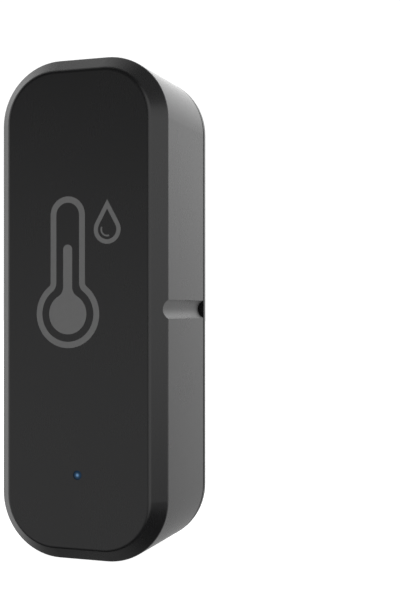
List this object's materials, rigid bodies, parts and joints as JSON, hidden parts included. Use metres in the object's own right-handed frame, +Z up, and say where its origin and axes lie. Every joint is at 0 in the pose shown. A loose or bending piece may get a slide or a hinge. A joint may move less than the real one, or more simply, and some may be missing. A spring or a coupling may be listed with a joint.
{
  "type": "temperature and humidity sensor",
  "caption": "Upright round-cornered battery sensor for room temperature and humidity, with a sloped face rim, an air channel in one side and a pull-off rear cover.",
  "frame": {"origin": "centre of the base, under the middle of the case", "axes": "+Z up along the height of the case, +Y from the face to the back, +X to the right as seen from the front"},
  "size_m": [0.025, 0.02, 0.07],
  "materials": {
    "case_plastic": "satin black ABS",
    "cover_plastic": "satin black ABS",
    "mark_ink": "grey pad-printed ink",
    "light_pipe": "clear tinted polycarbonate",
    "board_laminate": "green solder resist",
    "radio_laminate": "black solder resist",
    "shield_metal": "tinned sheet",
    "copper": "gilded copper track",
    "led_body": "white moulding with a clear lens",
    "chip_black": "moulded epoxy",
    "inductor_ferrite": "grey ferrite",
    "tantalum_case": "yellow moulding",
    "capacitor_ceramic": "tan ceramic",
    "button_plastic": "black nylon",
    "button_metal": "silver-plated sheet",
    "tray_plastic": "black ABS, fine texture",
    "screw_steel": "zinc-plated",
    "contact_nickel": "nickel-plated spring steel",
    "cell_jacket": "shrunk printed film",
    "cell_metal": "nickel-plated steel",
    "cell_seal": "dark fibre washer"
  },
  "bodies": {
    "case": {"front_shell": "case_plastic", "thermometer_mark": "mark_ink", "drop_mark": "mark_ink", "light_pipe": "light_pipe", "main_board": "board_laminate", "status_led": "led_body", "sensor_chip": "chip_black", "regulator_chip": "chip_black", "power_inductor": "inductor_ferrite", "reservoir_capacitor": "tantalum_case", "chip_capacitors": "capacitor_ceramic", "chip_resistors": "chip_black", "radio_board": "radio_laminate", "radio_can": "shield_metal", "antenna_track": "copper", "button_base": "button_plastic", "button_plate": "button_metal", "button_terminals": "button_metal", "battery_tray": "tray_plastic", "tray_screws": "screw_steel", "plus_plate": "contact_nickel", "minus_plate": "contact_nickel", "minus_spring": "contact_nickel", "bridge_plate": "contact_nickel", "bridge_spring": "contact_nickel", "cell_left": "cell_jacket", "cell_right": "cell_jacket", "cell_caps": "cell_metal", "cell_seals": "cell_seal"},
    "cover": {"rear_cover": "cover_plastic"},
    "pairing_button": {"button_plunger": "button_plastic"}
  },
  "joints": [
    {"name": "cover_pull", "type": "slide", "parent": "case", "child": "cover", "axis": [0, 1, 0], "range_m": [0, 0.03]},
    {"name": "button_press", "type": "slide", "parent": "case", "child": "pairing_button", "axis": [0, -1, 0], "range_m": [0, 0.00025], "stiffness_N_per_m": 5000, "springref_m": -0.00005}
  ]
}
